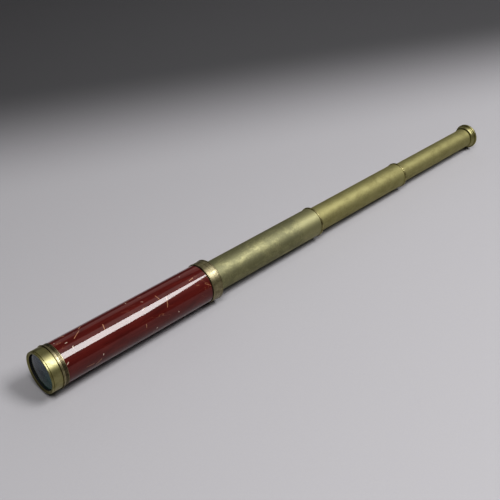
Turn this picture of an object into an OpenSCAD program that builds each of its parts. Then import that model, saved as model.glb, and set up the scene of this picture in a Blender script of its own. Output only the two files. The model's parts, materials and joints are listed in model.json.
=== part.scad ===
// Three-draw hand telescope with a varnished wooden barrel and brass draws, drawn out to its full length.
// It lies along X with the objective towards -X and the eyecup towards +X. The origin is under the middle
// of its length, at the height of the lowest point of the objective ferrule's flange.
// Every piece is turned, so each module works in lathe axes: Z is the station behind the front lip.

/* [Barrel] */
// Outer radius of the wooden barrel
barrel_r = 25.4; // [25:0.1:26]
// Bore radius of the wooden barrel
barrel_bore_r = 21.9; // [21.8:0.1:22.2]
// Visible length of the wood between the ferrules
wood_len = 211; // [180:1:240]
// Length of the objective ferrule, flange included
front_ferrule_len = 7.9; // [7:0.1:10]
// Length of the eye-end ferrule, main bush flange included
eye_ferrule_len = 18.3; // [16:0.1:20]

/* [Objective] */
// Radius of the polished band that takes the lens cap
cell_r = 26; // [25.8:0.1:26.4]
// Length of the cell in front of the ferrule flange
cell_len = 14; // [13:0.5:18]
// Radius of the ferrule flange, the widest part
flange_r = 27; // [26.6:0.1:28]
// Clear radius of the objective lens
aperture_r = 22.4; // [20:0.1:22.4]

/* [Draws] */
// Outer radius of draw 1
draw_1_r = 20.2; // [20:0.05:20.2]
// Outer radius of draw 2
draw_2_r = 17.6; // [17:0.1:17.8]
// Outer radius of draw 3
draw_3_r = 14.8; // [14.7:0.1:15]
// Wall of the brass draw tubes
draw_wall = 0.8; // [0.6:0.1:0.8]
// Length of draw 1 that shows when drawn out
show_1 = 187.4; // [150:0.1:190]
// Length of draw 2 that shows when drawn out
show_2 = 186.6; // [150:0.1:188]
// Length of draw 3 that shows when drawn out
show_3 = 173.4; // [140:0.1:175]
// Width of the raised ring on the end of draws 1 and 2
ring_w = 2; // [1.8:0.1:3]
// Height of that ring over the draw
ring_rise = 1; // [0.6:0.1:1.2]

/* [Eyecup] */
// Radius of the eyecup's rim
eyecup_r = 19.3; // [19:0.1:20]
// Length of the eyecup behind draw 3
eyecup_len = 11.8; // [11.6:0.1:13]
// Radius of the eye hole
eye_hole_r = 3.6; // [3:0.1:4]
// Angle of the eye shutter from closed
shutter_angle = 0; // [0:1:55]

/* [Fits] */
// Radial gap of a draw in its bush
bush_gap = 0.05; // [0.03:0.01:0.1]
// Radial gap of a stop ring in the tube outside it
stop_gap = 0.1; // [0.06:0.01:0.1]
// Radial gap of a screwed or soldered joint
joint_gap = 0.03; // [0.02:0.01:0.05]
// Gap left at each end of a draw's travel
end_gap = 0.1; // [0.1:0.05:0.3]

/* [Hidden] */
$fn = 96;
lens_fn = 720;
cut = 1;
edge = 0.2;
seat_gap = 0.1;

// Colours
polished_brass = [0.78, 0.68, 0.33];
dull_brass = [0.46, 0.41, 0.27];
aged_brass = [0.56, 0.53, 0.30];
black_brass = [0.10, 0.09, 0.08];
red_varnish = [0.36, 0.07, 0.06];
lens_glass = [0.55, 0.68, 0.72, 0.45];
steel = [0.45, 0.45, 0.47];

// Stations along the barrel
flange_z = cell_len;
wood_z = flange_z + front_ferrule_len;
wood_end = wood_z + wood_len;
mouth_z = wood_end + eye_ferrule_len;

// Objective cell
cell_bore_r = 23.1;
cell_spigot_r = 24;
cell_spigot_len = 6.5;
lens_seat_z = 3;
lip_w = 1.9;
lip_r = cell_r - 0.15;
lip_edge = 0.35;
bevel_r = cell_r - 1.1;
step_r = cell_r - 2.3;
step_z = 1;
throat_edge = 0.4;
groove_w = 0.7;
groove_r = cell_r - groove_w;
root_w = 0.7;
root_d = 0.4;
undercut_w = 0.8;
undercut_d = 0.3;

// Objective doublet: surface radii, and the stations of the surfaces at the lens edge
lens_edge_r = cell_bore_r - seat_gap;
crown_front_curve = 150;
crown_rear_curve = 140;
crown_edge = 2.2;
spacer_t = 0.4;
spacer_bore_r = aperture_r + 0.2;
doublet_gap = spacer_t + 2 * seat_gap;
crown_z = lens_seat_z + 0.15;
flint_z = crown_z + crown_edge + doublet_gap;
flint_edge = 4.2;
retainer_z = flint_z + flint_edge + seat_gap;
retainer_len = 3;
retainer_bore_r = aperture_r - 1;
spanner_slot_w = 1.5;
spanner_slot_d = 1;

// Ferrules and the plugs that hold them in the wood
plug_r = 23.2;
plug_len = 9;
plug_relief = 0.2;
front_plug_bore = 22.3;
thread_relief = 0.1;
flange_t = 0.9;
ferrule_band_r = barrel_r + 0.35;
fine_groove_r = 0.45;
fine_groove_pitch = 1.3;
wood_front_edge = 0.2;
wood_rear_edge = 0.5;
eye_band_r = barrel_r + 0.8;
eye_foot_r = barrel_r - 0.4;
eye_foot_w = 0.6;
eye_bead_r = 1;
eye_bead_top = barrel_r + 1.1;
eye_groove_r = 0.25;
eye_groove_z = 8.6;
rim_bead_r = 0.8;
rim_bead_top = barrel_r + 1.3;

// Bushes and stop rings
bush_len = 25.5;
main_bush_len = 28.3;
main_bush_r = 21.6;
main_flange_r = 23.8;
main_flange_len = 1.6;
main_groove_r = 23;
main_groove_w = 0.6;
main_flange_edge = 0.5;
stop_len = 4.7;
stop_lip = 1;
ring_nose_r = 0.9;
slit_count = 4;
slit_w = 1;
slit_len = 0.72;

// Stations along the draws
stop_1_z = mouth_z - main_bush_len - end_gap - stop_len;
ring_1_z = mouth_z + show_1;
tube_2_mouth = ring_1_z + ring_w;
stop_2_z = ring_1_z - bush_len - end_gap - stop_len;
ring_2_z = tube_2_mouth + show_2;
tube_3_mouth = ring_2_z + ring_w;
stop_3_z = ring_2_z - bush_len - end_gap - stop_len;
neck_z = tube_3_mouth + show_3;
length = neck_z + eyecup_len;

// Erector
erector_len = 70;
erector_r = 10;
erector_bore_r = 9.2;
erector_collar_len = 4;
erector_lens_r = 7.5;
erector_cell_len = 7;
erector_seat_r = 6.8;
erector_flange_len = 1;
erector_stop_r = 2;
erector_lens_sag = 1.8;
erector_lens_t = 3.2;
erector_inset = 1.8;
erector_z = stop_3_z + erector_inset;
erector_collar_z = 1;

// Eyepiece
eyepiece_len = 58;
eyepiece_z = neck_z - eyepiece_len;
eyepiece_bore_r = 12.3;
eyepiece_thread_r = 12.8;
eyepiece_thread_len = 4;
field_cell_len = 10;
field_lens_r = 11.2;
field_seat_r = 10.5;
field_lens_sag = 2.5;
field_lens_t = 4.2;
field_stop_r = 8;
eye_cell_len = 7;
eye_lens_r = 6.7;
eye_seat_r = 5.9;
eye_lens_sag = 2;
eye_lens_t = 3.4;
eye_cell_end = neck_z + 1;
seat_len = 2;
stop_plate = 0.8;

// Eyecup, station by station behind the neck
neck_r = 13.6;
neck_len = 1.4;
bell_r = 3.2;
bell_top = eyecup_r - 1.9;
cove_r = 1.2;
cove_rise = 0.6;
cove_back = 1.5;
dish_z = length - 3.8;
dish_plate = 2.2;
dish_r = eyecup_r - 2.7;
dish_edge = 1;
rim_len = 3.4;
rim_corner = 1;

// Eye shutter
pivot_r = 11.4;
blade_r = 5.2;
blade_z = dish_z + seat_gap;
blade_t = 0.8;
blade_arm_w = 4.4;
shutter_hole_r = 1;
shank_r = 0.94;
screw_head_r = 2.2;
screw_head_t = 0.8;
screw_slot_w = 0.5;
screw_slot_d = 0.35;
shank_sink = 0.2;
peg_r = 0.9;
peg_h = 1.7;
peg_reach = 4;

// Puts lathe axes in place: station 0 at the front lip, the telescope's axis along X
module in_place() {
    translate([-length / 2, 0, flange_r]) rotate([0, 90, 0]) children();
}

// Turns a 2D profile of radius and station
module turned() {
    rotate_extrude() children();
}

// A plain rectangle in a profile
module band(r_in, r_out, z, len) {
    translate([r_in, z]) square([r_out - r_in, len]);
}

// A plain turned ring or tube
module ring(r_in, r_out, z, len) {
    turned() band(r_in, r_out, z, len);
}

// Large disc whose arc passes through a lens edge: its inside is the glass side of a domed surface
module dome(curve_r, edge_r, edge_z, faces_front) {
    sag = curve_r - sqrt(curve_r * curve_r - edge_r * edge_r);
    side = faces_front ? 1 : -1;
    translate([0, edge_z + side * (curve_r - sag)]) circle(r = curve_r, $fn = lens_fn);
}

// Lens with a flat back and a domed front, or the other way round
module plano_convex(edge_r, sag, z, len, faces_front) {
    curve_r = (edge_r * edge_r + sag * sag) / (2 * sag);
    edge_z = faces_front ? z + sag : z + len - sag;
    turned() intersection() {
        band(0, edge_r, z, len);
        dome(curve_r, edge_r, edge_z, faces_front);
    }
}

// Screwed cell for a lens: a seat the lens rests on, then the bore it lies in
module lens_cell(r_out, bore_r, seat_r, z, len, seat_first) {
    seat_z = seat_first ? z : z + len - seat_len;
    difference() {
        ring(seat_r, r_out, z, len);
        ring(0, bore_r, seat_first ? z + seat_len : z - cut, len - seat_len + cut);
    }
    ring(seat_r, bore_r + joint_gap, seat_z, seat_len);
}

// Sprung sleeve of a bush, slit from its inner end
module slit_sleeve(r_in, r_out, z, len) {
    difference() {
        ring(r_in, r_out, z, len);
        for (i = [0 : slit_count - 1])
            rotate([0, 0, (i + 0.5) * 360 / slit_count])
                translate([0, -slit_w / 2, z - cut])
                    cube([r_out + cut, slit_w, slit_len * len + cut]);
    }
}

// Bush in the end of a draw: the raised ring outside, the slit sleeve inside
module draw_bush(outer_r, inner_r, z) {
    bore_r = inner_r + bush_gap;
    slit_sleeve(bore_r, outer_r - draw_wall - joint_gap, z - bush_len, bush_len);
    turned() intersection() {
        band(bore_r, outer_r + ring_rise, z, ring_w);
        union() {
            band(bore_r, outer_r + ring_rise - ring_nose_r, z, ring_w);
            band(bore_r, outer_r + ring_rise, z + ring_nose_r, ring_w);
            translate([outer_r + ring_rise - ring_nose_r, z + ring_nose_r]) circle(r = ring_nose_r);
        }
    }
}

// Collar on the inner end of a draw, which slides in the tube outside it
module stop_ring(slide_r, tube_r, z) {
    difference() {
        ring(tube_r - draw_wall, slide_r - stop_gap, z, stop_len);
        ring(0, tube_r + joint_gap, z + stop_lip, stop_len);
    }
}

module draw_tube(r, z, end) {
    ring(r - draw_wall, r, z, end - z);
}

module objective_cell() {
    color(polished_brass) in_place() turned() difference() {
        polygon([
            [bevel_r, 0], [lip_r - lip_edge, 0], [lip_r, lip_edge], [lip_r, lip_w],
            [groove_r, lip_w + groove_w / 2], [cell_r, lip_w + groove_w],
            [cell_r, flange_z - root_w], [cell_r - root_d, flange_z - root_d], [cell_r - root_d, flange_z],
            [cell_spigot_r, flange_z], [cell_spigot_r, flange_z + cell_spigot_len],
            [cell_bore_r, flange_z + cell_spigot_len], [cell_bore_r, lens_seat_z],
            [aperture_r, lens_seat_z], [aperture_r, step_z + throat_edge],
            [aperture_r + throat_edge, step_z], [step_r, step_z]
        ]);
        // Undercut at the root of the spigot
        band(cell_spigot_r - undercut_d, cell_spigot_r + cut, flange_z, undercut_w);
    }
}

module crown_lens() {
    rear_z = crown_z + crown_edge;
    color(lens_glass) in_place() turned() intersection() {
        band(0, lens_edge_r, 0, 2 * retainer_z);
        dome(crown_front_curve, lens_edge_r, crown_z, true);
        dome(crown_rear_curve, lens_edge_r, rear_z, false);
    }
}

module lens_spacer() {
    color(dull_brass) in_place() ring(spacer_bore_r, lens_edge_r, crown_z + crown_edge + seat_gap, spacer_t);
}

module flint_lens() {
    color(lens_glass) in_place() turned() difference() {
        band(0, lens_edge_r, crown_z + crown_edge, doublet_gap + flint_edge);
        dome(crown_rear_curve, lens_edge_r, flint_z, false);
    }
}

module objective_retaining_ring() {
    color(black_brass) in_place() difference() {
        ring(retainer_bore_r, cell_bore_r - joint_gap, retainer_z, retainer_len);
        // Spanner slot across the back
        translate([-cell_bore_r - cut, -spanner_slot_w / 2, retainer_z + retainer_len - spanner_slot_d])
            cube([2 * (cell_bore_r + cut), spanner_slot_w, spanner_slot_d + cut]);
    }
}

module objective_ferrule() {
    thread_len = cell_spigot_len + thread_relief;
    band_z = flange_z + flange_t;
    color(dull_brass) in_place() turned() difference() {
        polygon([
            [front_plug_bore, flange_z], [flange_r - edge, flange_z], [flange_r, flange_z + edge],
            [flange_r, band_z - edge], [flange_r - edge, band_z],
            [ferrule_band_r, band_z], [ferrule_band_r, wood_z - edge],
            [ferrule_band_r - edge, wood_z], [plug_r, wood_z],
            [plug_r, wood_z + plug_len], [front_plug_bore, wood_z + plug_len]
        ]);
        band(0, cell_spigot_r + joint_gap, flange_z - cut, thread_len + cut);
        // Fine grooves between the turned rings beside the wood
        for (i = [1 : 3])
            translate([ferrule_band_r, wood_z - fine_groove_pitch * i]) circle(r = fine_groove_r);
    }
}

module wood_barrel() {
    plug_hole_r = plug_r + joint_gap;
    plug_hole_len = plug_len + plug_relief;
    color(red_varnish) in_place() turned() difference() {
        polygon([
            [barrel_bore_r, wood_z], [barrel_r - wood_front_edge, wood_z],
            [barrel_r, wood_z + wood_front_edge], [barrel_r, wood_end - wood_rear_edge],
            [barrel_r - wood_rear_edge, wood_end], [barrel_bore_r, wood_end]
        ]);
        band(0, plug_hole_r, wood_z - cut, plug_hole_len + cut);
        band(0, plug_hole_r, wood_end - plug_hole_len, plug_hole_len + cut);
    }
}

module eye_end_ferrule() {
    face_z = mouth_z - main_flange_len - main_groove_w;
    bore_r = main_bush_r + joint_gap;
    bead_z = wood_end + eye_foot_w + eye_bead_r;
    rim_z = face_z - rim_bead_r;
    color(dull_brass) in_place() turned() difference() {
        union() {
            band(bore_r, plug_r, wood_end - plug_len, plug_len + cut);
            // Foot against the wood, set back under the first bead
            band(bore_r, eye_foot_r, wood_end, face_z - wood_end);
            band(bore_r, eye_band_r, bead_z, rim_z - bead_z);
            // Bead beside the wood, and the bead round the rim
            translate([eye_bead_top - eye_bead_r, bead_z]) circle(r = eye_bead_r);
            translate([rim_bead_top - rim_bead_r, rim_z]) circle(r = rim_bead_r);
        }
        // Fine groove halfway along the band
        translate([eye_band_r, wood_end + eye_groove_z]) circle(r = eye_groove_r);
    }
}

module main_bush() {
    bore_r = draw_1_r + bush_gap;
    flange_len = main_flange_len + main_groove_w;
    face_z = mouth_z - flange_len;
    color(dull_brass) in_place() {
        slit_sleeve(bore_r, main_bush_r, mouth_z - main_bush_len, main_bush_len - flange_len);
        turned() difference() {
            band(bore_r, main_flange_r, face_z, flange_len);
            // Groove between the flange and the ferrule, and the softened outer edge
            band(main_groove_r, main_flange_r + cut, face_z, main_groove_w);
            translate([main_flange_r, mouth_z]) rotate(45) square(main_flange_edge, center = true);
        }
    }
}

module draw_1_stop_ring() {
    color(dull_brass) in_place() stop_ring(barrel_bore_r, draw_1_r, stop_1_z);
}

module draw_1_tube() {
    color(aged_brass) in_place() draw_tube(draw_1_r, stop_1_z + stop_lip, ring_1_z);
}

module draw_1_bush() {
    color(aged_brass) in_place() draw_bush(draw_1_r, draw_2_r, ring_1_z);
}

module draw_2_stop_ring() {
    color(dull_brass) in_place() stop_ring(draw_1_r - draw_wall, draw_2_r, stop_2_z);
}

module draw_2_tube() {
    color(aged_brass) in_place() draw_tube(draw_2_r, stop_2_z + stop_lip, ring_2_z);
}

module draw_2_bush() {
    color(aged_brass) in_place() draw_bush(draw_2_r, draw_3_r, ring_2_z);
}

module draw_3_stop_ring() {
    color(dull_brass) in_place() stop_ring(draw_2_r - draw_wall, draw_3_r, stop_3_z);
}

module draw_3_tube() {
    color(aged_brass) in_place() draw_tube(draw_3_r, stop_3_z + stop_lip, neck_z);
}

module erector_tube() {
    color(black_brass) in_place() {
        ring(erector_bore_r, erector_r, erector_z, erector_len);
        ring(erector_bore_r, draw_3_r - draw_wall - joint_gap, erector_z + erector_collar_z,
            erector_collar_len);
    }
}

module erector_front_cell() {
    color(black_brass) in_place() {
        lens_cell(erector_bore_r - joint_gap, erector_lens_r + joint_gap, erector_seat_r,
            erector_z, erector_cell_len, true);
        ring(erector_seat_r, erector_r, erector_z - erector_flange_len, erector_flange_len);
    }
}

module erector_front_lens() {
    color(lens_glass) in_place()
        plano_convex(erector_lens_r, erector_lens_sag, erector_z + seat_len, erector_lens_t, false);
}

module erector_stop() {
    color(black_brass) in_place()
        ring(erector_stop_r, erector_bore_r - joint_gap, erector_z + erector_len / 2, stop_plate);
}

module erector_rear_cell() {
    end_z = erector_z + erector_len;
    color(black_brass) in_place() {
        lens_cell(erector_bore_r - joint_gap, erector_lens_r + joint_gap, erector_seat_r,
            end_z - erector_cell_len, erector_cell_len, false);
        ring(erector_seat_r, erector_r, end_z, erector_flange_len);
    }
}

module erector_rear_lens() {
    lens_z = erector_z + erector_len - seat_len - erector_lens_t;
    color(lens_glass) in_place()
        plano_convex(erector_lens_r, erector_lens_sag, lens_z, erector_lens_t, true);
}

module eyepiece_tube() {
    color(black_brass) in_place() {
        ring(eyepiece_bore_r, draw_3_r - draw_wall - joint_gap, eyepiece_z, eyepiece_len);
        ring(eyepiece_bore_r, eyepiece_thread_r, neck_z, eyepiece_thread_len);
    }
}

module field_lens_cell() {
    color(black_brass) in_place()
        lens_cell(eyepiece_bore_r - joint_gap, field_lens_r + joint_gap, field_seat_r,
            eyepiece_z, field_cell_len, true);
}

module field_lens() {
    color(lens_glass) in_place()
        plano_convex(field_lens_r, field_lens_sag, eyepiece_z + seat_len, field_lens_t, false);
}

module field_stop() {
    color(black_brass) in_place()
        ring(field_stop_r, eyepiece_bore_r - joint_gap, eyepiece_z + eyepiece_len / 2, stop_plate);
}

module eye_lens_cell() {
    color(black_brass) in_place()
        lens_cell(eyepiece_bore_r - joint_gap, eye_lens_r + joint_gap, eye_seat_r,
            eye_cell_end - eye_cell_len, eye_cell_len, false);
}

module eye_lens() {
    color(lens_glass) in_place()
        plano_convex(eye_lens_r, eye_lens_sag, eye_cell_end - seat_len - eye_lens_t, eye_lens_t, true);
}

// Outline of the eyecup's solid: neck, rounded bell, cove and rim, with the dish inside
module eyecup_profile() {
    thread_r = eyepiece_thread_r + joint_gap;
    bell_z = neck_z + neck_len;
    bell_end = bell_z + bell_r;
    rim_z = length - rim_len;
    difference() {
        union() {
            band(thread_r, neck_r, neck_z, dish_z - neck_z);
            intersection() {
                band(thread_r, bell_top, bell_z, rim_z - bell_z + cut);
                union() {
                    band(thread_r, bell_top - bell_r, bell_z, bell_r);
                    translate([bell_top - bell_r, bell_end]) circle(r = bell_r);
                    band(thread_r, bell_top, bell_end, rim_z - bell_end + cut);
                }
            }
            band(eye_hole_r, neck_r, dish_z - dish_plate, dish_plate);
            band(dish_r, eyecup_r - rim_corner, rim_z, rim_len);
            band(dish_r, eyecup_r, rim_z + rim_corner, rim_len - 2 * rim_corner);
            for (z = [rim_z + rim_corner, length - rim_corner])
                translate([eyecup_r - rim_corner, z]) circle(r = rim_corner);
        }
        // Cove under the rim
        translate([bell_top + cove_rise, rim_z - cove_back]) circle(r = cove_r);
        // Dish on the eye side, softened at the rim
        band(0, dish_r, dish_z, length - dish_z + cut);
        translate([dish_r, length]) rotate(45) square(dish_edge, center = true);
    }
}

module eyecup() {
    color(polished_brass) in_place() difference() {
        turned() eyecup_profile();
        translate([-pivot_r, 0, neck_z]) cylinder(r = shank_r + joint_gap, h = eyecup_len);
    }
}

module shutter_screw() {
    head_z = blade_z + blade_t + seat_gap;
    shank_z = dish_z - dish_plate + shank_sink;
    color(steel) in_place() translate([-pivot_r, 0, 0]) {
        translate([0, 0, shank_z]) cylinder(r = shank_r, h = head_z - shank_z + shank_sink);
        difference() {
            translate([0, 0, head_z]) cylinder(r = screw_head_r, h = screw_head_t);
            translate([-screw_head_r - cut, -screw_slot_w / 2, head_z + screw_head_t - screw_slot_d])
                cube([2 * (screw_head_r + cut), screw_slot_w, screw_slot_d + cut]);
        }
    }
}

module eye_shutter() {
    color(polished_brass) in_place() translate([-pivot_r, 0, 0]) rotate([0, 0, shutter_angle])
        difference() {
            union() {
                translate([pivot_r, 0, blade_z]) cylinder(r = blade_r, h = blade_t);
                translate([0, 0, blade_z]) cylinder(r = blade_arm_w / 2, h = blade_t);
                translate([0, -blade_arm_w / 2, blade_z]) cube([pivot_r, blade_arm_w, blade_t]);
                translate([pivot_r + peg_reach, 0, blade_z]) cylinder(r = peg_r, h = blade_t + peg_h);
            }
            translate([0, 0, blade_z - cut]) cylinder(r = shutter_hole_r, h = blade_t + 2 * cut);
        }
}

objective_cell();
crown_lens();
lens_spacer();
flint_lens();
objective_retaining_ring();
objective_ferrule();
wood_barrel();
eye_end_ferrule();
main_bush();
draw_1_stop_ring();
draw_1_tube();
draw_1_bush();
draw_2_stop_ring();
draw_2_tube();
draw_2_bush();
draw_3_stop_ring();
draw_3_tube();
erector_tube();
erector_front_cell();
erector_front_lens();
erector_stop();
erector_rear_cell();
erector_rear_lens();
eyepiece_tube();
field_lens_cell();
field_lens();
field_stop();
eye_lens_cell();
eye_lens();
eyecup();
shutter_screw();
eye_shutter();
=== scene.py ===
"""Looks, floor, light and camera for the three-draw hand telescope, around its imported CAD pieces."""

import json
import math

import bpy
from mathutils import Matrix, Vector


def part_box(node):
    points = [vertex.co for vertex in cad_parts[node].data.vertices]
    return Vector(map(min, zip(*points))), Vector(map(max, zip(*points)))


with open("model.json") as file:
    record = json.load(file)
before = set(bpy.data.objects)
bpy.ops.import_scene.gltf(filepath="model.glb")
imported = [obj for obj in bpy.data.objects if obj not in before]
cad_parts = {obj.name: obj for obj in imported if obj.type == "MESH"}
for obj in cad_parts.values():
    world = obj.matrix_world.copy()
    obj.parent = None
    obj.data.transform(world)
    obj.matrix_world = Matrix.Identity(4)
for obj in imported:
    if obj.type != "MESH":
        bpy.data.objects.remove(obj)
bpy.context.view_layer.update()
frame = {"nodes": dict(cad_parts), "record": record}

MM = 0.001
NODES = frame["nodes"]

# Places that the looks need, all from the frame
WOOD_LOW, WOOD_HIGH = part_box("wood_barrel")
AXIS_Z = (WOOD_LOW.z + WOOD_HIGH.z) / 2
WOOD_R = (WOOD_HIGH.z - WOOD_LOW.z) / 2
MOUTH_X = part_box("main_bush")[1].x
RING_1_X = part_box("draw_1_bush")[1].x

# In millimetres: how much of draw 1's eye end is cleaner, the radius of the objective's front curve, and
# how far above the wood's surface the ferrules' dark brown tone reaches
CLEAN_END = 36.5
LENS_FACE_R = 150.0
DARK_RISE = 0.25

# Scene-linear tones and what the view makes of them: the dark ones are deepened
VIEW_TONES = ((0.031, 0.014), (0.102, 0.074), (0.165, 0.134), (0.40, 0.385), (0.75, 0.765))


# ---------------------------------------------------------------- node helpers

class Tree:
    """A material's node tree, with short calls for the nodes that the finishes share."""

    def __init__(self, name):
        self.material = bpy.data.materials.new(name)
        self.material.use_nodes = True
        self.tree = self.material.node_tree
        self.tree.nodes.clear()
        self.shader = self.node("ShaderNodeBsdfPrincipled")
        output = self.node("ShaderNodeOutputMaterial")
        self.link(self.shader.outputs["BSDF"], output.inputs["Surface"])

    def node(self, kind, **settings):
        made = self.tree.nodes.new(kind)
        for key, value in settings.items():
            setattr(made, key, value)
        return made

    def link(self, source, socket):
        self.tree.links.new(source, socket)

    def feed(self, socket, value):
        """Links an output to a socket, or sets the socket's own value."""
        if isinstance(value, bpy.types.NodeSocket):
            self.link(value, socket)
        elif isinstance(value, tuple) and len(value) == 3 and socket.type == "RGBA":
            socket.default_value = (*value, 1)
        else:
            socket.default_value = value

    def math(self, operation, a, b=0.0, c=0.0, clamp=False):
        made = self.node("ShaderNodeMath", operation=operation, use_clamp=clamp)
        for socket, value in zip(made.inputs, (a, b, c)):
            self.feed(socket, value)
        return made.outputs[0]

    def vector(self, operation, a, b=(0.0, 0.0, 0.0), out="Vector"):
        made = self.node("ShaderNodeVectorMath", operation=operation)
        self.feed(made.inputs[0], a)
        self.feed(made.inputs[1], b)
        return made.outputs[out]

    def smooth(self, value, low, high, to_low=0.0, to_high=1.0):
        """Smooth step from to_low at low to to_high at high."""
        made = self.node("ShaderNodeMapRange", interpolation_type="SMOOTHSTEP")
        for name, v in (("Value", value), ("From Min", low), ("From Max", high),
                        ("To Min", to_low), ("To Max", to_high)):
            self.feed(made.inputs[name], v)
        return made.outputs["Result"]

    def mix(self, factor, a, b, blend="MIX"):
        made = self.node("ShaderNodeMix", data_type="RGBA", blend_type=blend)
        for socket, v in zip((made.inputs[0], made.inputs[6], made.inputs[7]), (factor, a, b)):
            self.feed(socket, v)
        return made.outputs[2]

    def blend(self, factor, a, b):
        """Number between a and b."""
        made = self.node("ShaderNodeMix", data_type="FLOAT")
        for socket, v in zip(made.inputs[:1] + made.inputs[2:4], (factor, a, b)):
            self.feed(socket, v)
        return made.outputs[0]

    def ramp(self, factor, *stops):
        made = self.node("ShaderNodeValToRGB")
        elements = made.color_ramp.elements
        while len(elements) < len(stops):
            elements.new(1.0)
        for element, (place, colour) in zip(elements, stops):
            element.position = place
            element.color = (*colour, 1)
        self.feed(made.inputs[0], factor)
        return made.outputs[0]

    def place(self):
        """Millimetres from the telescope's axis at the middle of its length, fixed to the piece."""
        at = self.node("ShaderNodeTexCoord").outputs["Object"]
        from_axis = self.vector("SUBTRACT", at, (0.0, 0.0, AXIS_Z))
        return self.vector("MULTIPLY", from_axis, (1000.0, 1000.0, 1000.0))

    def noise(self, at, size, detail=4.0, roughness=0.55, stretch=(1.0, 1.0, 1.0), shift=0.0, bend=0.0):
        """Noise whose features are about size millimetres, longer by stretch along each axis."""
        scaled = self.vector("DIVIDE", at, tuple(size * s for s in stretch))
        moved = self.vector("ADD", scaled, (shift, 0.7 * shift, -1.3 * shift))
        made = self.node("ShaderNodeTexNoise")
        for name, v in (("Vector", moved), ("Scale", 1.0), ("Detail", detail),
                        ("Roughness", roughness), ("Distortion", bend)):
            self.feed(made.inputs[name], v)
        return made.outputs["Fac"]

    def bump(self, height, depth, below=None):
        """Bump whose height output is in millimetres of depth."""
        made = self.node("ShaderNodeBump")
        self.feed(made.inputs["Strength"], 1.0)
        self.feed(made.inputs["Distance"], depth * MM)
        self.feed(made.inputs["Height"], height)
        if below is not None:
            self.link(below, made.inputs["Normal"])
        return made.outputs["Normal"]

    def set(self, **values):
        """Feeds the shader's inputs; an underscore stands for a space."""
        for name, value in values.items():
            self.feed(self.shader.inputs[name.replace("_", " ")], value)
        return self.material


def split_axes(tree, at):
    split = tree.node("ShaderNodeSeparateXYZ")
    tree.link(at, split.inputs[0])
    return split.outputs


def around(tree, at):
    """Turned parts: the station along the axis, the radius, and the angle from the top towards +Y."""
    x, y, z = split_axes(tree, at)
    radius = tree.math("SQRT", tree.math("ADD", tree.math("MULTIPLY", y, y), tree.math("MULTIPLY", z, z)))
    angle = tree.math("ARCTAN2", y, z)
    return x, radius, angle


def bore_mask(tree, at):
    """1 on surfaces that face the axis, such as a tube's bore, and 0 outside."""
    flat = tree.vector("MULTIPLY", at, (0.0, 1.0, 1.0))
    outward = tree.vector("NORMALIZE", flat)
    normal = tree.node("ShaderNodeTexCoord").outputs["Normal"]
    facing = tree.vector("DOT_PRODUCT", normal, outward, out="Value")
    return tree.smooth(facing, -0.2, -0.7)


def rings(tree, x, size, shift=0.0):
    """Fine turning marks: noise that changes only along the axis."""
    along = tree.math("MULTIPLY_ADD", x, 1.0 / size, shift)
    made = tree.node("ShaderNodeTexNoise", noise_dimensions="1D")
    for name, v in (("W", along), ("Scale", 1.0), ("Detail", 3.0), ("Roughness", 0.6)):
        tree.feed(made.inputs[name], v)
    return made.outputs["Fac"]


def hairlines(tree, at, size, stretch, width, shift):
    """Thin scratches: the narrow ridge where a stretched noise crosses its middle value."""
    field = tree.noise(at, size, detail=2.0, roughness=0.5, stretch=stretch, shift=shift, bend=0.3)
    off = tree.math("ABSOLUTE", tree.math("SUBTRACT", field, 0.5))
    line = tree.smooth(off, width, 0.0)
    patches = tree.smooth(tree.noise(at, 3.0 * size, detail=2.0, shift=shift + 5.0), 0.5, 0.62)
    return tree.math("MULTIPLY", line, patches)


def strokes(tree, spot, cell, longest, width, empty_share):
    """Short straight marks, one at the heart of some cells, each with its own heading and length.

    spot and the sizes are in millimetres. A cell whose chance of a mark is below empty_share holds none,
    and the others' marks are the stronger the higher it is.
    """
    grid = tree.vector("DIVIDE", spot, (cell, cell, cell))
    cells = tree.node("ShaderNodeTexVoronoi", voronoi_dimensions="2D", feature="F1")
    tree.feed(cells.inputs["Vector"], grid)
    tree.feed(cells.inputs["Scale"], 1.0)
    heading_chance, length_chance, mark_chance = split_axes(tree, cells.outputs["Color"])
    offset = tree.vector("SUBTRACT", grid, cells.outputs["Position"])
    offset = tree.vector("MULTIPLY", offset, (cell, cell, 0.0))
    heading = tree.math("MULTIPLY", heading_chance, 2.0 * math.pi)
    run = tree.node("ShaderNodeCombineXYZ")
    tree.link(tree.math("COSINE", heading), run.inputs[0])
    tree.link(tree.math("SINE", heading), run.inputs[1])
    forward = tree.vector("DOT_PRODUCT", offset, run.outputs[0], out="Value")
    reach = tree.math("MULTIPLY", length_chance, 0.5 * longest)
    within = tree.math("MAXIMUM", tree.math("MINIMUM", forward, reach), tree.math("MULTIPLY", reach, -1.0))
    nearest = tree.node("ShaderNodeVectorMath", operation="SCALE")
    tree.link(run.outputs[0], nearest.inputs[0])
    tree.link(within, nearest.inputs["Scale"])
    off = tree.vector("LENGTH", tree.vector("SUBTRACT", offset, nearest.outputs[0]), out="Value")
    mark = tree.smooth(off, 0.65 * width, 0.25 * width)
    return tree.math("MULTIPLY", mark, tree.smooth(mark_chance, empty_share, 1.0, 0.0, 0.9))


# ---------------------------------------------------------------- brass

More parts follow.
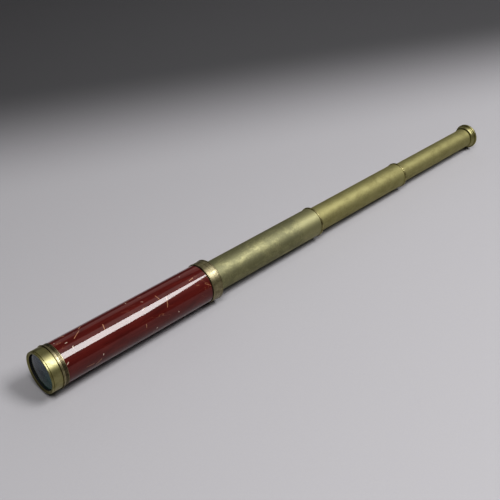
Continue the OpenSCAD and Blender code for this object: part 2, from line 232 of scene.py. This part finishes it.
def brass(name, bright, dull, roughness, patina, patina_size, marks,
          clean_from=None, black=(-1e3, 1e3), darker_below=None):
    """Brass with patina blotches, turning marks and hairline scratches.

    patina is the share of the surface that is dull, clean_from the station where it thins out, and
    black the stations between which the surfaces that face the axis are blackened. Surfaces nearer the
    axis than the last argument's radius are made dark brown.
    """
    tree = Tree(name)
    at = tree.place()
    x, radius, _ = around(tree, at)
    blacked = tree.math("MULTIPLY", tree.math("GREATER_THAN", x, black[0]),
                        tree.math("LESS_THAN", x, black[1]))
    bore = tree.math("MULTIPLY", bore_mask(tree, at), blacked)

    broad = tree.noise(at, patina_size, detail=6.0, roughness=0.6, stretch=(1.6, 1.0, 1.0), bend=0.4)
    specks = tree.noise(at, patina_size * 0.16, detail=4.0, roughness=0.65, shift=3.0)
    cover = tree.math("MULTIPLY_ADD", specks, 0.35, tree.math("MULTIPLY", broad, 0.75))
    edge = 0.92 - 0.75 * patina
    stain = tree.smooth(cover, edge - 0.16, edge + 0.16)
    if clean_from is not None:
        stain = tree.math("MULTIPLY", stain, tree.smooth(x, clean_from - 4.0, clean_from + 3.0, 1.0, 0.35))
    turned = rings(tree, x, marks)
    lines = hairlines(tree, at, 9.0, (2.6, 1.0, 1.0), 0.012, 2.0)

    metal = tree.mix(stain, bright, dull)
    metal = tree.mix(tree.smooth(turned, 0.35, 0.75, 0.0, 0.18), metal, dull)
    metal = tree.mix(tree.math("MULTIPLY", lines, 0.5), metal, bright)
    # Every surface nearer the axis than this radius, such as a stepped-down face or a piece set inside a
    # ferrule, is made dark brown
    if darker_below is not None:
        metal = tree.mix(tree.smooth(radius, darker_below, darker_below - 0.3, 0.0, 0.85), metal,
                         (0.030, 0.025, 0.017))
    metal = tree.mix(bore, metal, (0.012, 0.011, 0.010))

    rough = tree.blend(stain, roughness, roughness + 0.09)
    rough = tree.math("MULTIPLY_ADD", turned, 0.10, tree.math("SUBTRACT", rough, 0.05))
    rough = tree.blend(bore, rough, 0.75)
    relief = tree.math("MULTIPLY_ADD", turned, 0.5, tree.math("MULTIPLY", specks, 0.5))
    relief = tree.math("SUBTRACT", relief, tree.math("MULTIPLY", lines, 0.6))
    return tree.set(
        Base_Color=metal,
        Metallic=tree.blend(bore, 1.0, 0.0),
        Roughness=rough,
        Normal=tree.bump(relief, 0.02),
    )


def polished_brass():
    """The cell's bore is black behind its lens, and the eyecup's dish is bright."""
    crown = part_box("crown_lens")[0].x / MM
    return brass("polished_brass", (0.315, 0.295, 0.155), (0.21, 0.19, 0.095), 0.40, 0.40, 7.0, 0.45,
                 black=(crown, MOUTH_X / MM))


def dull_brass():
    """The ferrules and the pieces in them: the grooves and all that is nearer the axis are made dark
    brown.
    """
    return brass("dull_brass", (0.335, 0.30, 0.185), (0.19, 0.165, 0.105), 0.37, 0.50, 3.5, 0.35,
                 darker_below=WOOD_R / MM + DARK_RISE)


def aged_draw_brass():
    clean = RING_1_X / MM - CLEAN_END
    return brass("aged_draw_brass", (0.31, 0.295, 0.165), (0.20, 0.195, 0.118), 0.54, 0.58, 13.0, 0.6,
                 clean_from=clean)


def satin_draw_brass():
    return brass("satin_draw_brass", (0.305, 0.285, 0.142), (0.235, 0.215, 0.106), 0.62, 0.42, 12.0, 0.6)


def draw_ring_brass():
    return brass("draw_ring_brass", (0.46, 0.42, 0.21), (0.16, 0.14, 0.075), 0.34, 0.55, 4.0, 0.3)


def bare_brass():
    return brass("bare_brass", (0.50, 0.43, 0.22), (0.30, 0.25, 0.13), 0.36, 0.35, 5.0, 0.4)


def blackened_brass():
    tree = Tree("blackened_brass")
    at = tree.place()
    x, _, _ = around(tree, at)
    worn = tree.smooth(tree.noise(at, 3.0, detail=6.0, roughness=0.7), 0.62, 0.78)
    turned = rings(tree, x, 0.4)
    colour = tree.mix(worn, (0.016, 0.015, 0.014), (0.060, 0.050, 0.034))
    return tree.set(
        Base_Color=colour,
        Metallic=0.0,
        Roughness=tree.math("MULTIPLY_ADD", turned, 0.2, 0.5),
        Normal=tree.bump(turned, 0.02),
    )


# ---------------------------------------------------------------- wood, glass, steel

def red_varnished_wood():
    tree = Tree("red_varnished_wood")
    at = tree.place()
    bore = bore_mask(tree, at)
    figure = tree.noise(at, 9.0, detail=5.0, roughness=0.6, stretch=(5.0, 1.0, 1.0), bend=0.6)
    pores = tree.noise(at, 0.7, detail=3.0, roughness=0.6, stretch=(16.0, 1.0, 1.0), shift=4.0)
    wood = tree.ramp(figure, (0.30, (0.055, 0.0100, 0.0082)), (0.52, (0.072, 0.0125, 0.0102)),
                     (0.72, (0.090, 0.0165, 0.0125)))
    wood = tree.mix(tree.smooth(pores, 0.60, 0.72, 0.0, 0.6), wood, (0.030, 0.0040, 0.0030))
    lines = hairlines(tree, at, 14.0, (3.0, 1.0, 1.0), 0.006, 7.0)
    wood = tree.mix(tree.math("MULTIPLY", lines, 0.35), wood, (0.30, 0.16, 0.09))

    # Scratches to the bare wood, and paler chips, at chance places all round
    x, _, angle = around(tree, at)
    wobble = tree.noise(at, 1.6, detail=3.0, shift=11.0)
    along = tree.math("ADD", tree.math("SUBTRACT", x, WOOD_LOW.x / MM), wobble)
    turn = tree.math("MULTIPLY_ADD", angle, WOOD_R / MM, wobble)
    spot = tree.node("ShaderNodeCombineXYZ")
    tree.link(along, spot.inputs[0])
    tree.link(turn, spot.inputs[1])
    bare = strokes(tree, spot.outputs[0], 19.0, 13.0, 1.0, 0.50)
    moved = tree.vector("ADD", spot.outputs[0], (40.0, 25.0, 0.0))
    chips = strokes(tree, moved, 27.0, 2.6, 1.3, 0.62)
    wood = tree.mix(bare, wood, (0.36, 0.20, 0.12))
    wood = tree.mix(chips, wood, (0.55, 0.46, 0.38))
    lines = tree.math("MAXIMUM", lines, tree.math("MAXIMUM", bare, chips))
    wood = tree.mix(bore, wood, (0.012, 0.011, 0.010))
    relief = tree.math("SUBTRACT", tree.math("MULTIPLY", pores, -0.3), lines)
    ripple = tree.noise(at, 6.0, detail=2.0, stretch=(5.0, 1.0, 1.0), shift=9.0)
    normal = tree.bump(relief, 0.012)
    coat = tree.bump(ripple, 0.010)
    return tree.set(
        Base_Color=wood,
        Roughness=tree.blend(bore, 0.42, 0.8),
        Coat_Weight=tree.blend(bore, 1.0, 0.0),
        Coat_Roughness=0.045,
        Specular_IOR_Level=0.05,
        Coat_IOR=1.42,
        Normal=normal,
        Coat_Normal=coat,
    )


def lens_glass():
    """Old glass: dim inside, faintly hazed, with a painted teal reflection on its lower half.

    Every lens shines as if its faces had the curve of the objective's front, which is right only there.
    """
    tree = Tree("lens_glass")
    at = tree.place()
    x, y, z = split_axes(tree, at)
    haze = tree.smooth(tree.noise(at, 16.0, detail=3.0, shift=2.0), 0.4, 0.7, 0.9, 1.0)
    # Painted reflection: the glass turns teal towards its lower, -Y side
    low = tree.smooth(tree.math("ADD", y, z), 6.0, -34.0)
    teal_reflection = tree.mix(low, (0.20, 0.25, 0.30), (0.10, 0.42, 0.35))
    own = tree.node("ShaderNodeTexCoord").outputs["Normal"]
    facing = tree.node("ShaderNodeSeparateXYZ")
    tree.link(own, facing.inputs[0])
    across = tree.math("SIGN", facing.outputs[0])
    bend = tree.vector("MULTIPLY", at, (0.0, 1.0 / LENS_FACE_R, 1.0 / LENS_FACE_R))
    face = tree.node("ShaderNodeCombineXYZ")
    tree.link(across, face.inputs[0])
    domed = tree.vector("NORMALIZE", tree.vector("ADD", face.outputs[0], bend))
    near_face = tree.math("GREATER_THAN", tree.math("ABSOLUTE", facing.outputs[0]), 0.8)
    normal = tree.mix(near_face, own, domed)
    return tree.set(
        Base_Color=tree.mix(haze, (0.10, 0.12, 0.13), teal_reflection),
        Roughness=0.03,
        IOR=1.52,
        Transmission_Weight=0.85,
        Specular_Tint=(0.86, 0.95, 1.0),
        Normal=normal,
    )


def screw_steel():
    tree = Tree("screw_steel")
    at = tree.place()
    spots = tree.smooth(tree.noise(at, 0.6, detail=5.0), 0.45, 0.65)
    return tree.set(
        Base_Color=tree.mix(spots, (0.33, 0.34, 0.38), (0.12, 0.11, 0.11)),
        Metallic=1.0,
        Roughness=tree.blend(spots, 0.28, 0.5),
        Normal=tree.bump(spots, 0.01),
    )


FINISHES = {
    "polished_brass": polished_brass,
    "dull_brass": dull_brass,
    "aged_draw_brass": aged_draw_brass,
    "satin_draw_brass": satin_draw_brass,
    "draw_ring_brass": draw_ring_brass,
    "bare_brass": bare_brass,
    "blackened_brass": blackened_brass,
    "red_varnished_wood": red_varnished_wood,
    "lens_glass": lens_glass,
    "screw_steel": screw_steel,
}


def finish_nodes():
    """Gives each CAD node the finish of its material slot in the record."""
    made = {slot: make() for slot, make in FINISHES.items()}
    for part in frame["record"]["subparts"]:
        node = NODES[part["node"]]
        for place in node.material_slots:
            place.material = made[part["material_slot"]]


# ---------------------------------------------------------------- floor, light, camera

def make_floor():
    """Pale floor that the eye-end ferrule and the eyecup rest on, with painted shade far behind and far
    out.
    """
    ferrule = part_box("eye_end_ferrule")
    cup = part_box("eyecup")
    rest_a = Vector((ferrule[1].x, 0, ferrule[0].z))
    rest_b = Vector((cup[1].x, 0, cup[0].z))
    slope = (rest_b.z - rest_a.z) / (rest_b.x - rest_a.x)
    half = 6.0
    mesh = bpy.data.meshes.new("floor")
    corners = [(x, y, rest_a.z + slope * (x - rest_a.x))
               for x, y in ((-half, -half), (half, -half), (half, half), (-half, half))]
    mesh.from_pydata(corners, [], [(0, 1, 2, 3)])
    floor = bpy.data.objects.new("floor", mesh)
    bpy.context.scene.collection.objects.link(floor)
    tree = Tree("floor_paper")
    at = tree.node("ShaderNodeTexCoord").outputs["Object"]
    fine = tree.noise(at, 0.002, detail=3.0)
    # Painted shade: the floor's colour falls to near black behind the telescope and far from it
    behind = tree.vector("DOT_PRODUCT", at, (0.42, 0.91, 0.0), out="Value")
    far = tree.smooth(behind, 0.26, 0.66, 0.0, 0.85)
    away = tree.smooth(tree.vector("LENGTH", at, out="Value"), 0.75, 1.5, 0.0, 0.85)
    shade = tree.math("MAXIMUM", far, away)
    colour = tree.mix(fine, (0.322, 0.314, 0.327), (0.340, 0.332, 0.345))
    colour = tree.mix(shade, colour, (0.02, 0.02, 0.021))
    tree.set(Base_Color=colour, Roughness=0.7, Specular_IOR_Level=0.3)
    mesh.materials.append(tree.material)


def add_panel(name, centre, aim, width, depth, radiance):
    """Rectangular soft light; width runs along X, and radiance is what its reflection shows."""
    data = bpy.data.lights.new(name, "AREA")
    data.shape = "RECTANGLE"
    data.size = width
    data.size_y = depth
    data.energy = radiance * math.pi * width * depth
    panel = bpy.data.objects.new(name, data)
    bpy.context.scene.collection.objects.link(panel)
    panel.location = centre
    down = (Vector(aim) - Vector(centre)).normalized()
    side = Vector((1, 0, 0))
    side = (side - down * side.dot(down)).normalized()
    up = (-down).cross(side)
    panel.rotation_euler = Matrix((side, up, -down)).transposed().to_euler()


def make_light():
    """Two soft boxes above the viewer's side, two weaker panels overhead and a faint one behind."""
    height = 2.5
    for name, x, y, width, depth, radiance in (
        ("soft_box", 0.95, -1.50, 1.01, 1.77, 19.0),
        ("fill", -1.20, -0.95, 1.40, 1.00, 13.0),
        ("overhead", 0.50, 0.02, 2.10, 0.95, 1.0),
        ("far_overhead", 2.60, 0.65, 2.00, 3.10, 0.6),
    ):
        add_panel(name, (x, y, height), (x, y, 0.0), width, depth, radiance)
    add_panel("back_wall", (0.80, 2.40, 1.60), (0.10, 0.0, 0.0), 3.60, 1.30, 0.50)
    world = bpy.data.worlds.new("room")
    bpy.context.scene.world = world
    world.use_nodes = True
    background = world.node_tree.nodes["Background"]
    background.inputs["Color"].default_value = (0.9, 0.9, 0.93, 1)
    background.inputs["Strength"].default_value = 0.04


def set_view():
    """Plain view, with the dark tones deepened."""
    view = bpy.context.scene.view_settings
    view.view_transform = "Standard"
    view.use_curve_mapping = True
    tones = view.curve_mapping.curves[3]
    for tone, shown in VIEW_TONES:
        tones.points.new(tone, shown)
    view.curve_mapping.update()


def make_camera():
    """The camera looks down on the barrel from the objective's side."""
    azimuth = math.radians(-44.185)
    elevation = math.radians(34.469)
    distance = 1138.2 * MM
    aim = Vector((-76.5 * MM, 10.3 * MM, AXIS_Z))
    back = Vector((math.sin(azimuth) * math.cos(elevation), -math.cos(azimuth) * math.cos(elevation),
                   math.sin(elevation)))
    data = bpy.data.cameras.new("camera")
    data.lens = 62.12
    data.sensor_width = 36
    camera = bpy.data.objects.new("camera", data)
    bpy.context.scene.collection.objects.link(camera)
    camera.location = aim + back * distance
    camera.rotation_euler = (-back).to_track_quat("-Z", "Y").to_euler()
    bpy.context.scene.camera = camera


finish_nodes()
make_floor()
make_light()
make_camera()
set_view()
